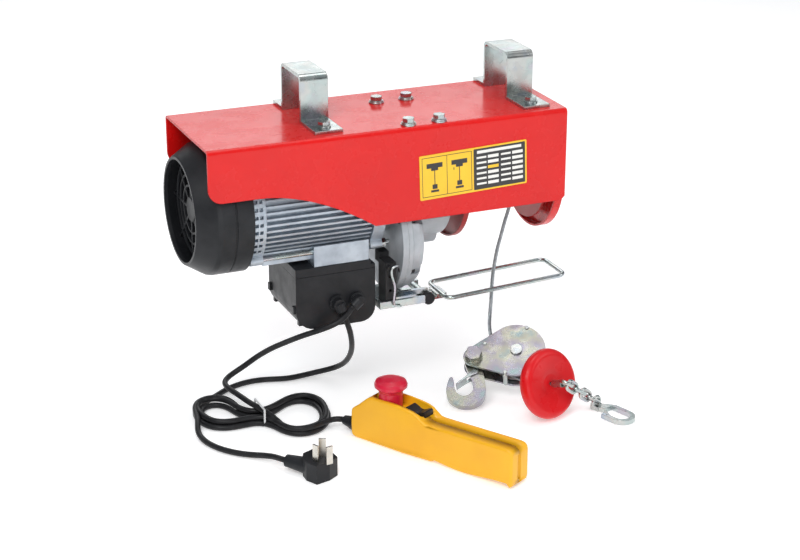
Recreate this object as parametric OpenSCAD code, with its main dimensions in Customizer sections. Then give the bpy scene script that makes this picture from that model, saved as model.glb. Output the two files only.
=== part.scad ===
// Electric wire rope hoist with pulley block, snap hook, mains lead and pendant.
// +X runs from the fan end to the drum end, -Y is the side that carries the
// data plate, +Z is up. The origin is the centre of the beam seat: midway
// between the two mounting brackets, on the underside of their crossbars.

/* [Housing] */
// Length of the sheet steel housing
housing_l = 353; // [352:1:356]
// Width of the housing over both skirts
housing_w = 125; // [124.6:0.2:126]
// Thickness of the housing sheet
housing_t = 2; // [1.8:0.1:2]
// Depth of the skirts beside the drum
skirt_deep = 90; // [88:1:91]
// Depth of the skirts beside the fan
skirt_shallow = 49; // [47:1:50]

/* [Mounting brackets] */
// Thickness of the bracket strap
strap_t = 3; // [2.8:0.1:3.2]
// Width of the bracket strap
strap_w = 27; // [25:1:30]
// Clear width between the bracket legs
seat_w = 46; // [44:1:48]
// Clear height under the bracket crossbar
seat_h = 42.5; // [40:0.5:45]
// Distance between the two brackets, centre to centre
bracket_pitch = 208; // [204:1:210]

/* [Motor] */
// Height of the motor and drum axis below the housing top
axis_drop = 73; // [72.5:0.5:73.5]
// Outer radius of the fan cover band
fan_cover_r = 62; // [61:0.5:62]
// Radius of the open mouth of the fan cover
fan_mouth_r = 50; // [48:0.5:51]
// Number of cooling fins round the stator
fin_count = 60; // [48:12:60]
// Radius over the cooling fins
fin_r = 56; // [54:0.5:56]

/* [Gear train] */
// Centre distance of both gear stages
gear_a = 45; // [45:1:45]
// Teeth on the motor pinion
z_motor = 10; // [10:1:10]
// Teeth on the layshaft wheel
z_wheel = 80; // [80:1:80]
// Teeth on the layshaft pinion
z_lay = 12; // [12:1:12]
// Teeth on the drum gear
z_drum = 48; // [48:1:48]

/* [Drum and rope] */
// Radius of the bare drum barrel
barrel_r = 30; // [29:0.5:31]
// Radius of the drum flanges
drum_flange_r = 50; // [48:1:51]
// Diameter of the wire rope
rope_d = 3.5; // [3.5:0.1:3.6]

/* [Pulley block] */
// Radius of the wide end of the side plates
plate_r = 28; // [28:0.5:28.5]
// Radius of the narrow end of the side plates
plate_r2 = 10; // [10:0.5:10.5]
// Distance from the sheave axle to the hook bolt
bolt_d = 41; // [41:0.5:41]
// Radius at the bottom of the sheave groove
groove_r = 18.5; // [18:0.1:18.5]

/* [Limit loop] */
// Length of the wire loop
loop_l = 126; // [124:1:128]
// Width of the wire loop
loop_w = 46.5; // [45:0.5:48]
// Wire diameter of the loop
loop_wire = 4.4; // [4:0.1:4.6]

/* [Cords and pendant] */
// Diameter of the two flexible cords
cord_d = 5.4; // [5.2:0.1:5.4]
// Length of the pendant handset
pendant_l = 178; // [176:1:180]
// Width of the pendant handset
pendant_w = 28; // [27:0.5:29]
// Depth of the surface the loose items lie on, below the housing top
ground = 270; // [270:1:270]

/* [Hidden] */
$fn = 64;
e = 0.01;

// the seat centre, measured from the housing's left end, centre line and top
seat_x = 222.5;
seat_y = 12;
W2 = housing_w / 2;
zm = -axis_drop;
b_lx = seat_x - bracket_pitch / 2;
b_rx = seat_x + bracket_pitch / 2;

// layshaft centre, a little to the front of the drum axis
ly = -8;
lz = zm - sqrt(gear_a * gear_a - ly * ly);
mesh_a = atan2(lz - zm, ly);
m1 = 2 * gear_a / (z_motor + z_wheel);
m2 = 2 * gear_a / (z_lay + z_drum);

red = [0.80, 0.03, 0.03];
zinc = [0.68, 0.72, 0.74];
alu = [0.72, 0.76, 0.80];
black = [0.05, 0.05, 0.055];
yellow = [0.95, 0.70, 0.08];

// everything is drawn from the housing's left end and top, then moved so
// that the origin is the beam seat
module place() { translate([-seat_x, -seat_y, -seat_h]) children(); }
// flat shapes drawn in Y and Z, extruded towards +X
module ax(x, y = 0, z = 0) { translate([x, y, z]) rotate([90, 0, 90]) children(); }
// a cylinder and a ring along X
module cx(x, y, z, r, l, n = 64) { ax(x, y, z) cylinder(r = r, h = l, $fn = n); }
module ringx(x, y, z, r, ri, l) { ax(x, y, z) difference() { cylinder(r = r, h = l, $fn = 96); translate([0, 0, -1]) cylinder(r = ri, h = l + 2, $fn = 96); } }
// a profile of [radius, along] points turned round a line along X
module turnx(x, y, z, pts) { ax(x, y, z) rotate_extrude($fn = 96) polygon(pts); }
// flat shapes drawn in X and Z, extruded towards +Y
module ay(y) { translate([0, y, 0]) rotate([90, 0, 0]) mirror([0, 0, 1]) children(); }
module hexhead(r, h) { cylinder(r = r / cos(30), h = h, $fn = 6); }

// ---- swept tubes -------------------------------------------------------
function vadd(a, b) = [a[0] + b[0], a[1] + b[1], a[2] + b[2]];
function unit(v) = v / norm(v);
// a smooth curve through the route points
function cr(p0, p1, p2, p3, t) = 0.5 * (2 * p1 + (p2 - p0) * t + (2 * p0 - 5 * p1 + 4 * p2 - p3) * t * t + (3 * p1 - p0 - 3 * p2 + p3) * t * t * t);
function smooth(p, k) = [for (i = [0:len(p) - 2]) for (j = [0:k - 1])
    cr(p[max(i - 1, 0)], p[i], p[i + 1], p[min(i + 2, len(p) - 1)], j / k), p[len(p) - 1]];
function tang(p, i) = unit(p[min(i + 1, len(p) - 1)] - p[max(i - 1, 0)]);
// each ring keeps the previous ring's side vector, turned as little as possible
function sides(p, i = 0, s = []) = i == len(p) ? s :
    let (t = tang(p, i), prev = i == 0 ? (abs(t[2]) > 0.8 ? [1, 0, 0] : [0, 0, 1]) : s[i - 1],
         u = unit(prev - t * (prev * t)))
    sides(p, i + 1, concat(s, [u]));
module tube(p, r, n) {
  u = sides(p);
  pts = [for (i = [0:len(p) - 1]) let (t = tang(p, i), v = cross(t, u[i]))
      for (k = [0:n - 1]) p[i] + r * (cos(360 * k / n) * u[i] + sin(360 * k / n) * v)];
  m = len(p);
  faces = concat(
    [[for (k = [n - 1:-1:0]) k]],
    [for (i = [0:m - 2]) for (k = [0:n - 1]) let (a = i * n + k, b = i * n + (k + 1) % n) [a, b, b + n]],
    [for (i = [0:m - 2]) for (k = [0:n - 1]) let (a = i * n + k, b = i * n + (k + 1) % n) [a, b + n, a + n]],
    [[for (k = [0:n - 1]) (m - 1) * n + k]]);
  mirror([0, 0, 0]) polyhedron(pts, faces, convexity = 6);
}

// ---- routes, from the housing's left end and top ------------------------
zg = -ground;
cr_z = zg + cord_d / 2;
control_out = [[139.10, -55.05, -168.95], [136.8, -55.1, -170.88], [133, -59.6, -173.6], [127, -61.4, -177], [119, -61.6, -180.9],
  [106, -55.5, -187.2], [94, -41, -196.5], [84, -21, -209.5], [75, -1, -223], [65, 15, -237], [54, 22, -248],
  [43, 22.5, -253.6], [34.5, 17, -255.2], [31, 8.2, -255.6], [32, -4, -255.7], [36.5, -22, -255.7], [42.2, -44.6, -255.7]];
mains_out = [[127.65, -55.05, -171.25], [128.7, -55.1, -174.2], [131.4, -54.6, -181], [135.4, -53, -190.5], [140, -47, -204],
  [144.6, -36.5, -219], [148.2, -20, -235.5], [148.6, -2, -250.5], [143, 13, -260.5], [131, 21.5, -265.5], [114, 22.5, cr_z],
  [97, 22, cr_z], [83, 26.8, cr_z], [66, 29.2, cr_z], [50, 26, cr_z], [38, 20.5, cr_z], [28, 13.5, cr_z], [20, 7.2, cr_z]];
mains_in = [[-13.4, -45.6, cr_z], [-16.4, -46.4, cr_z], [-18.6, -53, cr_z], [-19.2, -63, cr_z], [-17.4, -78, cr_z], [-12.4, -94, cr_z], [-3.4, -108.5, cr_z], [8.4, -120, cr_z],
  [19.5, -129.5, -266], [27.2, -140, -263.6], [31.4, -152.6, -261.5], [34.25, -156.2, -261.5]];
control_in = [[101.2, -91.5, -262.2], [103.8, -92.9, -262], [107.6, -94, -261.4], [110.3, -96.1, -261], [112.15, -99.4, -261]];

// ---- pulley block frame --------------------------------------------------
block_c = [293.7, -87.3, -231.8];
block_rot = [34.5, -8, -19];
module in_block() { translate(block_c) rotate(block_rot) children(); }
function rx(a, v) = [v[0], v[1] * cos(a) - v[2] * sin(a), v[1] * sin(a) + v[2] * cos(a)];
function ry(a, v) = [v[0] * cos(a) + v[2] * sin(a), v[1], -v[0] * sin(a) + v[2] * cos(a)];
function rz(a, v) = [v[0] * cos(a) - v[1] * sin(a), v[0] * sin(a) + v[1] * cos(a), v[2]];
function bw(v) = vadd(block_c, rz(block_rot[2], ry(block_rot[1], rx(block_rot[0], v))));
rope_r = rope_d / 2;
wrap_r = groove_r + rope_r + 0.4;

disc_c = [297, -147, -237];
disc_n = unit([0.31, -0.895, 0.317]);
disc_az = atan2(disc_n[1], disc_n[0]);
disc_el = asin(disc_n[2]);
module in_disc() { translate(disc_c) rotate([0, 90 - disc_el, disc_az]) children(); }
function dw(t) = disc_c + disc_n * t;

rope_route = concat(
  [[315.8, -32.2, -73], [312.8, -32.2, -87], [309.3, -31.9, -102], [305.3, -31.5, -116], [301.8, -31.5, -129], [298.4, -31.3, -142],
   [295.8, -31.2, -156], [293.8, -31.6, -169], [292, -33.5, -182], [289.5, -37.5, -195], [285.5, -44, -206.5], bw([-20.4, 34, 2])],
  [for (a = [172, 180, 190, 200, 211, 222]) bw([wrap_r * cos(a), wrap_r * sin(a), 0])],
  [bw([-9.5, -19.8, 0.6]), bw([-3.2, -26.6, 2.6]), bw([4, -34, 8])],
  [for (t = [-14, -7, 0, 7, 12, 17.5]) dw(t)]);

// ---- gears ----------------------------------------------------------------
// straight flanked teeth, thin enough to run clear in mesh
module gear2d(z, m) {
  r = z * m / 2;
  p = 360 / z;
  polygon([for (i = [0:z - 1]) for (q = [[-0.29, -1.2], [-0.20, 0], [-0.11, 0.95], [0.11, 0.95], [0.20, 0], [0.29, -1.2]])
    let (a = (i + q[0]) * p, rr = r + q[1] * m) [rr * cos(a), rr * sin(a)]]);
}
module gearx(x, y, z, teeth, m, w, a0, bore) {
  ax(x, y, z) difference() {
    linear_extrude(w) rotate(a0) gear2d(teeth, m);
    if (bore > 0) translate([0, 0, -1]) cylinder(r = bore, h = w + 2);
  }
}

// ======================= housing and mounting ==============================
function arc_z(x) = -skirt_shallow - (skirt_deep - skirt_shallow) * pow((x - 48) / 111, 1.8);
skirt = concat([[0, 1], [0, -35]], [for (a = [180:15:270]) [13 + 13 * cos(a), -35.5 + (skirt_shallow - 35.5) * sin(a)]],
  [for (x = [48:6:156]) [x, arc_z(x)]], [[159, -skirt_deep], [housing_l - 4, -skirt_deep], [housing_l, -skirt_deep + 4], [housing_l, 1]]);
module u_section(w, r) {
  translate([-w, -200]) square([2 * w, 200 - r]);
  translate([-w + r, -r - e]) square([2 * w - 2 * r, r + e]);
  for (s = [-1, 1]) translate([s * (w - r), -r]) circle(r = r);
}
bolt_xy = [[195, -53], [225.5, -53], [195, 24], [225.5, 24]];
foot_xy = [for (x = [b_lx, b_rx]) for (y = [-38, 50]) [x, y]];
module housing() {
  color(red) place() difference() {
    intersection() {
      ax(0) linear_extrude(housing_l) difference() {
        u_section(W2, 4);
        translate([0, -housing_t]) u_section(W2 - housing_t, 2);
      }
      ay(-100) linear_extrude(200) polygon(skirt);
    }
    for (b = bolt_xy) translate([b[0], b[1], -10]) cylinder(r = 3.2, h = 20);
    for (b = foot_xy) translate([b[0], b[1], -10]) cylinder(r = 3.2, h = 20);
  }
}
module strap(xc) {
  lf = seat_y - seat_w / 2;
  lb = seat_y + seat_w / 2;
  difference() {
    translate([xc - strap_w / 2, 0, 0]) rotate([90, 0, 90]) linear_extrude(strap_w) union() {
      translate([lf - strap_t, 0]) square([strap_t, seat_h - 3]);
      translate([lb, 0]) square([strap_t, seat_h - 3]);
      translate([lf + 3, seat_h]) square([seat_w - 6, strap_t]);
      for (s = [-1, 1]) translate([seat_y + s * (seat_w / 2 - 3), seat_h - 3]) difference() {
        circle(r = 3 + strap_t);
        circle(r = 3);
        translate([s > 0 ? -20 : 0, -20]) square([20, 40]);
        translate([-20, -20]) square([40, 20]);
      }
      translate([-51, 0]) square([51 + lf - e, strap_t]);
      translate([lb, 0]) square([61 - lb, strap_t]);
    }
    translate([xc, -38, -1]) cylinder(r = 3.3, h = 6);
    translate([xc, 50, -1]) cylinder(r = 3.3, h = 6);
  }
}
module mount_brackets() { color(zinc) place() { strap(b_lx); strap(b_rx); } }
// hexagon flange bolt pointing down from z = 0, with its washer
module top_bolt(shank, washer) {
  if (washer) difference() { cylinder(r = 7.2, h = 1.4); translate([0, 0, -1]) cylinder(r = 3.15, h = 4); }
  z0 = washer ? 1.45 : 0;
  translate([0, 0, z0]) { cylinder(r = 6.4, h = 1.2); translate([0, 0, 1.2 - e]) hexhead(5, 4); }
  translate([0, 0, z0 - shank]) cylinder(r = 3, h = shank + 1);
}
module housing_bolts() {
  color(zinc) place() {
    for (b = bolt_xy) translate([b[0], b[1], 0.05]) top_bolt(11, true);
    for (b = foot_xy) {
      translate([b[0], b[1], strap_t + 0.05]) top_bolt(13, false);
      // lock nut under the housing roof
      translate([b[0], b[1], -housing_t - 5.05]) difference() { hexhead(5, 5); translate([0, 0, -1]) cylinder(r = 3.05, h = 7); }
    }
  }
}
module data_plate() {
  color(yellow) place() translate([203, -W2 - 0.62, -71.5]) rotate([0, -2, 0]) cube([109, 0.6, 43]);
}

// ================================ motor =====================================
module fan_cover() {
  color(black) place() {
    difference() {
      turnx(0, 0, zm, [[fan_mouth_r - 2.6, -8.5], [fan_mouth_r, -8.5], [fan_mouth_r + 1, -7], [fan_cover_r - 1, 9], [fan_cover_r, 13],
        [fan_cover_r, 25.2], [fan_cover_r - 1, 25.6], [fan_cover_r - 1, 26.8], [fan_cover_r, 27.2], [fan_cover_r, 43],
        [fan_cover_r - 2.5, 43], [fan_cover_r - 2.5, 14], [fan_mouth_r - 2.6, -5]]);
      for (a = [35, 155, 275]) ax(36, 0, zm) rotate(a) translate([fan_cover_r - 4, 0, 0]) rotate([0, 90, 0]) cylinder(r = 1.6, h = 8);
    }
    // guard rings and spokes, set back in the mouth
    for (r = [22, 32, 42]) ringx(2, 0, zm, r + 1, r - 1, 2);
    cx(1.8, 0, zm, 11.5, 2.4);
    for (a = [0:45:315]) ax(2.3, 0, zm) rotate(a) translate([11, -1.2]) cube([43.2, 2.4, 1.4]);
  }
}
module cover_screws() {
  color(zinc) place() {
    for (a = [35, 155, 275]) ax(36, 0, zm) rotate(a) translate([fan_cover_r - 6.5, 0, 0]) rotate([0, 90, 0]) {
      cylinder(r = 1.5, h = 6.5); translate([0, 0, 6.55]) cylinder(r = 2.8, h = 1.2);
    }
    in_pendant() for (p = pen_screws) translate([p[0], pw + 0.05, p[1]]) rotate([90, 0, 0]) { cylinder(r = 2.4, h = 1); cylinder(r = 1.2, h = 11); }
  }
}
module fan() {
  color([0.12, 0.12, 0.13]) place() {
    ringx(14, 0, zm, 12, 6, 20);
    ringx(30, 0, zm, 46, 11.9, 2);
    for (a = [0:45:315]) ax(12, 0, zm) rotate(a) translate([11.5, -1, 0]) rotate([0, 0, 12]) cube([33, 2, 18.2]);
  }
}
module shield_disc(x, w, lug) {
  ax(x, 0, zm) cylinder(r = 58.5, h = w, $fn = 96);
  for (a = [45:90:315]) ax(x, 0, zm) rotate(a) { translate([59, 0, 0]) cylinder(r = lug, h = w); translate([50, -lug, 0]) cube([9, 2 * lug, w]); }
}
module rear_end_shield() {
  color(alu) place() difference() {
    shield_disc(43.05, 12, 5);
    cx(50, 0, zm, 46, 6);
    cx(42, 0, zm, 7, 20);
    cx(45, 0, zm, 16, 12);
    // cooling slots in two rows round the rim
    for (a = [3:7.2:359]) if (abs((a + 45) % 90 - 45) > -1 && min([for (l = [45, 135, 225, 315]) abs(a - l)]) > 7)
      for (k = [0, 1]) ax(44.2 + 4.6 * k, 0, zm) rotate(a) translate([54, -1.7, 0]) cube([8, 3.4, 3.2]);
    for (a = [45:90:315]) ax(40, 0, zm) rotate(a) translate([59, 0, 0]) cylinder(r = 2.6, h = 20);
    for (a = [35, 155, 275]) ax(36, 0, zm) rotate(a) translate([52, 0, 0]) rotate([0, 90, 0]) cylinder(r = 1.6, h = 12);
  }
}
module stator_housing() {
  color(alu) place() difference() {
    union() {
      cx(55.1, 0, zm, 50, 105, 96);
      for (i = [0:fin_count - 1]) let (a = i * 360 / fin_count) if (a < 219 || a > 321)
        ax(55.6, 0, zm) rotate(a) translate([48, -1.1, 0]) cube([fin_r - 48, 2.2, 104]);
      // seat for the terminal box
      translate([104, -47, -127.9]) cube([54, 72, 19.9]);
      translate([56, -40, -122]) cube([104, 62, 12]);
    }
    cx(50, 0, zm, 47, 120, 96);
    for (a = [45:90:315]) ax(50, 0, zm) rotate(a) translate([59, 0, 0]) cylinder(r = 2.8, h = 120);
    translate([120, -20, -135]) cube([20, 20, 40]);
  }
}
module stator_core() { color([0.45, 0.45, 0.47]) place() ringx(76, 0, zm, 46.95, 28, 62); }
module windings() {
  color([0.72, 0.36, 0.12]) place() for (x = [62, 138.1]) turnx(x, 0, zm, [[30, 1.5], [32, 0], [41, 0], [43.5, 1.5], [44.5, 4], [44.5, 13.9], [30, 13.9]]);
}
module rotor() {
  color([0.55, 0.56, 0.58]) place() {
    cx(14, 0, zm, 5.95, 172);
    cx(185.5, 0, zm, 3.2, 8);
    cx(77, 0, zm, 27.4, 60, 96);
    for (x = [72, 137]) ringx(x, 0, zm, 25, 5.9, 5);
    gearx(192.5, 0, zm, z_motor, m1, 11.5, mesh_a, 0);
  }
}
module bearings() {
  color([0.62, 0.64, 0.66]) place() {
    ringx(45.5, 0, zm, 15.95, 6, 9);
    ringx(161, 0, zm, 15.95, 6, 9);
    ringx(233, 0, zm, 15.95, 8, 7.4);
    ringx(345.5, 0, zm, 13.95, 8, 5.4);
    ringx(186.5, ly, lz, 7.95, 5, 5);
    ringx(231.5, ly, lz, 7.95, 5, 4.5);
  }
}
module front_end_shield() {
  color(alu) place() difference() {
    shield_disc(160.2, 11.7, 5);
    cx(161, 0, zm, 16, 20);
    cx(159, 0, zm, 7, 20);
    cx(159.5, 0, zm, 45, 1.5, 96);
    for (a = [45:90:315]) ax(155, 0, zm) rotate(a) translate([59, 0, 0]) cylinder(r = 2.6, h = 30);
  }
}
module tie_bolts() {
  color(zinc) place() for (a = [45:90:315]) ax(0, 0, zm) rotate(a) translate([59, 0, 0]) {
    translate([0, 0, 43.3]) cylinder(r = 2.4, h = 136.3);
    translate([0, 0, 172]) hexhead(4, 4);
  }
}

// ============================ terminal box ==================================
box_low = concat([[85.2, -136.4], [85.2, -170]], [for (a = [180:15:270]) [104 + 18.8 * cos(a), -170 + 18.8 * sin(a)]],
  [for (a = [270:15:360]) [150 + 14 * cos(a), -174.8 + 14 * sin(a)]], [[164, -136.4]]);
box_low_in = concat([[87.7, -130], [87.7, -170]], [for (a = [180:15:270]) [104 + 16.3 * cos(a), -170 + 16.3 * sin(a)]],
  [for (a = [270:15:360]) [150 + 11.5 * cos(a), -174.8 + 11.5 * sin(a)]], [[161.5, -130]]);
module terminal_box() {
  color(black) place() difference() {
    union() { translate([85.2, -47.8, -136.3]) cube([78.8, 74.8, 8.3]); }
    translate([89, -44, -140]) cube([71.2, 67.2, 7]);
    translate([121, -19, -140]) cube([18, 18, 30]);
    translate([159.7, -50, -132.2]) cube([6, 80, 6]);
  }
}
module terminal_box_cover() {
  color(black) place() difference() {
    union() {
      ay(-48) linear_extrude(75.2) polygon(box_low);
      // small moulded catches on the fan side
      for (y = [-46, 20]) translate([83.2, y, -172]) cube([4, 5, 7]);
      for (y = [-46, 20]) translate([88.5, y, -184.5]) cube([5, 5, 5]);
    }
    ay(-45.5) linear_extrude(70.2) polygon(box_low_in);
    for (x = [125, 145]) translate([x, -40, -165]) rotate([90, 0, 0]) cylinder(r = 5, h = 20);
  }
}
module capacitor() {
  color([0.75, 0.76, 0.78]) place() { cx(104, 2, -169.2, 17, 46); cx(101, 2, -169.2, 8, 3.2); }
}
// a hooded elbow on the front of the box that turns the cord downwards
module gland(x, tilt) {
  translate([x, -48.05, -165]) {
    rotate([90, 0, 0]) cylinder(r = 7.5, h = 3);
    translate([0, 7, 0]) rotate([90, 0, 0]) cylinder(r = 4.9, h = 8);
    translate([0, -2.9, 0]) rotate([90, 0, 0]) cylinder(r = 5.8, h = 7);
    translate([0, -7, 1]) rotate([0, tilt, 0]) translate([0, 0, -7.5]) cylinder(r = 5.4, h = 8.5);
  }
}
module cable_glands() { color(black) place() { gland(125, -20); gland(145, 50); } }

// ============================== gearbox =====================================
module gearbox_case() {
  color([0.70, 0.72, 0.73]) place() difference() {
    union() {
      cx(172, 0, zm, 44, 15, 96);
      cx(186, ly, lz, 55.8, 6.1, 96);
      cx(186, 0, zm, 55, 6.1, 96);
    }
    cx(174, 0, zm, 36, 9, 96);
    cx(170, 0, zm, 7, 30);
    cx(186.5, ly, lz, 8, 10);
    for (a = [45:90:315]) ax(171, 0, zm) rotate(a) translate([59, 0, 0]) cylinder(r = 6.5, h = 9);
    for (p = gb_screws) cx(185, p[0], p[1], 2.6, 10);
  }
}
gb_screws = [[-52, -93], [-52, -141], [-8, -168], [36, -141], [40, -102], [-36.8, -39.2], [36.8, -39.2]];
module gearbox_cover() {
  color([0.74, 0.76, 0.77]) place() difference() {
    union() {
      turnx(0, ly, lz, [[0, 192.2], [55.8, 192.2], [55.8, 196.6], [54.6, 197.2], [54, 204], [51, 208.5], [46, 211], [0, 211]]);
      cx(192.3, 0, zm, 53, 48.1, 96);
      cx(192.2, 0, zm, 55, 4.3, 96);
      cx(210, ly, lz, 16, 27.5);
      translate([190.4, -58, -9.9]) cube([41.6, 89, 7.8]);
      translate([194, -34, -40]) cube([40, 58, 32]);
    }
    cx(190, ly, lz, 43, 17, 96);
    cx(190, 0, zm, 42, 41.9, 96);
    cx(206, ly, lz, 12.5, 25.4);
    cx(231, ly, lz, 8, 5);
    cx(230, 0, zm, 12, 20);
    cx(232.9, 0, zm, 16, 10);
    for (b = bolt_xy) translate([b[0], b[1], -15]) cylinder(r = 3.1, h = 20);
    for (p = gb_screws) { cx(185, p[0], p[1], 2.6, 30); cx(196.75, p[0], p[1], 5.5, 60); }
  }
}
module gearbox_screws() {
  color([0.10, 0.10, 0.11]) place() for (p = gb_screws) { cx(186.5, p[0], p[1], 2.5, 10.4); ax(196.85, p[0], p[1]) cylinder(r = 4.4, h = 4); }
}
module layshaft_gear() {
  color([0.60, 0.61, 0.63]) place() {
    gearx(193.5, ly, lz, z_wheel, m1, 9.5, mesh_a + 180 + 180 / z_wheel, 0);
    gearx(202.9, ly, lz, z_lay, m2, 27.6, mesh_a + 180 + 180 / z_lay, 0);
    cx(187, ly, lz, 4.95, 48.5);
  }
}
module drum_gear() { color([0.60, 0.61, 0.63]) place() gearx(211, 0, zm, z_drum, m2, 18.5, mesh_a, 8); }
module drum_shaft() { color([0.66, 0.68, 0.70]) place() { cx(206, 0, zm, 7.95, 144.5); cx(229.6, 0, zm, 11, 3.2); } }

// =============================== drum =======================================
module drum() {
  color([0.62, 0.05, 0.05]) place() {
    ringx(258.5, 0, zm, barrel_r, barrel_r - 3, 82.5);
    for (x = [258.5, 338.5]) ringx(x, 0, zm, drum_flange_r, 8, 2.5);
    for (x = [261, 332.5]) ringx(x, 0, zm, 13, 8, 6);
  }
}
module rope_on_drum() {
  color([0.50, 0.52, 0.53]) place() turnx(0, 0, zm, concat([[barrel_r + 0.02, 261.3]],
    [for (i = [0:13]) for (q = [[0.05, -1.7], [2.4, -1.2], [3.3, -0.45], [3.3, 0.45], [2.4, 1.2], [0.05, 1.7]]) [barrel_r + 0.3 + q[0] , 263.2 + 3.55 * i + q[1]]],
    [[barrel_r + 0.02, 311.4]]));
}
module dish(x, w, r, t, hub_r, hub_l, hub_x, hole) {
  difference() {
    union() {
      ax(x) linear_extrude(w) { translate([0, zm]) circle(r = r, $fn = 96); polygon([[-r, zm], [r, zm], [r, -5], [r - 3, -housing_t - 0.05], [3 - r, -housing_t - 0.05], [-r, -5]]); }
      cx(hub_x, 0, zm, hub_r, hub_l);
    }
    difference() {
      ax(x - 1) linear_extrude(w - t + 1) { translate([0, zm]) circle(r = r - t, $fn = 96); translate([-r + t, zm]) square([2 * (r - t), -zm - housing_t - t]); }
      cx(hub_x, 0, zm, hub_r, hub_l);
    }
    cx(x - 10, 0, zm, hole, 40);
  }
}
module drum_bulkhead() { color(red) place() dish(252, 5, 57.5, 1.8, 14, 3, 253.9, 10); }
module end_plate() {
  color(red) place() difference() {
    dish(345, 8, 60, 2, 18, 8, 345, 8.4);
    cx(344, 0, zm, 14, 7);
  }
}

// ============================ limit switch ==================================
sx = 220;
sz = -177;
module limit_switch() {
  color([0.08, 0.08, 0.09]) place() difference() {
    union() {
      translate([172.5, -53, -174.15]) cube([10.65, 17.5, 42.15]);
      translate([173, -38, -137]) cube([9, 12, 11]);
      // boss that takes the end of the wire spring
      translate([176, -52.9, -137]) rotate([90, 0, 0]) cylinder(r = 3, h = 3.2);
    }
    cx(178, -39.5, -171, 2, 10);
    for (z = [-160, -146]) translate([177.5, -20, z]) rotate([90, 0, 0]) cylinder(r = 1.6, h = 40);
  }
}
module switch_plunger() { color([0.75, 0.75, 0.72]) place() { cx(180.5, -39.5, -171, 1.95, 7.6); } }
module limit_bracket() {
  color(zinc) place() difference() {
    union() {
      translate([166, -55.4, -176.6]) cube([61, 56.4, 2.4]);
      // turned up lip on the front edge and the two ears that carry the lever
      translate([166, -55.4, -176.6]) cube([46, 2, 7]);
      for (y = [-37, -4]) translate([213, y, -184]) cube([14, 3, 8.5]);
      translate([166, -55.4, -176.6]) cube([2.4, 39.4, 7]);
      // foot against the underside of the gearbox
      translate([186.3, -12, -176.6]) cube([5.6, 8, 3.45]);
    }
    translate([sx, 20, sz]) rotate([90, 0, 0]) cylinder(r = 3.55, h = 90);
    translate([212.5, -33.9, -180]) cube([20, 29.8, 12]);
    translate([185.7, -42.2, -180]) cube([50, 5.15, 12]);
    translate([212.1, -56, -180]) cube([20, 18.95, 12]);
    translate([198, -25, -180]) cylinder(r = 2.2, h = 10);
    translate([203, -45.9, -180]) cylinder(r = 1.7, h = 10);
  }
}
// loop geometry: the left end is clamped by the lever, the far end stands higher
loop_tilt = 2.7;
loop_x0 = 241.5;
loop_y0 = -18.2;
loop_z0 = -182;
module limit_lever() {
  color(zinc) place() {
    translate([sx, 3, sz]) rotate([90, 0, 0]) cylinder(r = 3.5, h = 44.5);
    // arm that carries the loop's short side
    translate([sx - 2, -28, -186.6]) cube([28.6, 20, 2.2]);
    for (x = [236.4, 243.95]) translate([x, -28, -186.6]) cube([2.65, 20, 5]);
    translate([sx - 4, -28, -186.6]) cube([5, 20, 8]);
    // striker that pushes the switch plunger
    translate([217, -41.5, -178]) cube([4, 4, 8]);
    translate([188.5, -41.5, -172]) cube([32.5, 4, 4]);
    translate([188.5, -41.5, -172]) cube([2.5, 4, 6.5]);
  }
}
module wire_bend(r, w, a, s) { rotate_extrude(angle = a, $fn = 48) translate([r, 0]) circle(r = w, $fn = 20); }
module limit_loop() {
  r = loop_wire / 2;
  c = 7;
  color(zinc) place() translate([loop_x0, loop_y0, loop_z0]) rotate([0, -loop_tilt, 0]) {
    for (s = [-1, 1]) translate([c, s * loop_w / 2, 0]) rotate([0, 90, 0]) cylinder(r = r, h = loop_l - 2 * c, $fn = 20);
    for (x = [0, loop_l]) translate([x, loop_w / 2 - c, 0]) rotate([90, 0, 0]) cylinder(r = r, h = loop_w - 2 * c, $fn = 20);
    translate([c, loop_w / 2 - c, 0]) rotate(90) wire_bend(c, r, 90);
    translate([c, -loop_w / 2 + c, 0]) rotate(180) wire_bend(c, r, 90);
    translate([loop_l - c, loop_w / 2 - c, 0]) rotate(0) wire_bend(c, r, 90);
    translate([loop_l - c, -loop_w / 2 + c, 0]) rotate(270) wire_bend(c, r, 90);
  }
}
module lever_knob() { color(black) place() translate([sx, -41.6, sz]) rotate([90, 0, 0]) { cylinder(r = 6, h = 5); translate([0, 0, 4.9]) cylinder(r1 = 6, r2 = 5, h = 1.1); } }
spring_path = [[182.8, -57.8, -133.6], [180.2, -57.8, -134.1], [177.6, -57.8, -135.6], [176.4, -57.8, -138.4], [176.8, -57.8, -144], [178.6, -57.9, -150],
  [179.7, -58, -156.5], [179.3, -58, -163], [178.7, -57.8, -168.6], [179.4, -57.5, -172.4], [182.4, -57.2, -174.8], [186.6, -57, -175.4]];
module limit_spring() { color([0.8, 0.82, 0.84]) place() tube(smooth(spring_path, 2), 1.2, 10); }

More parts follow.
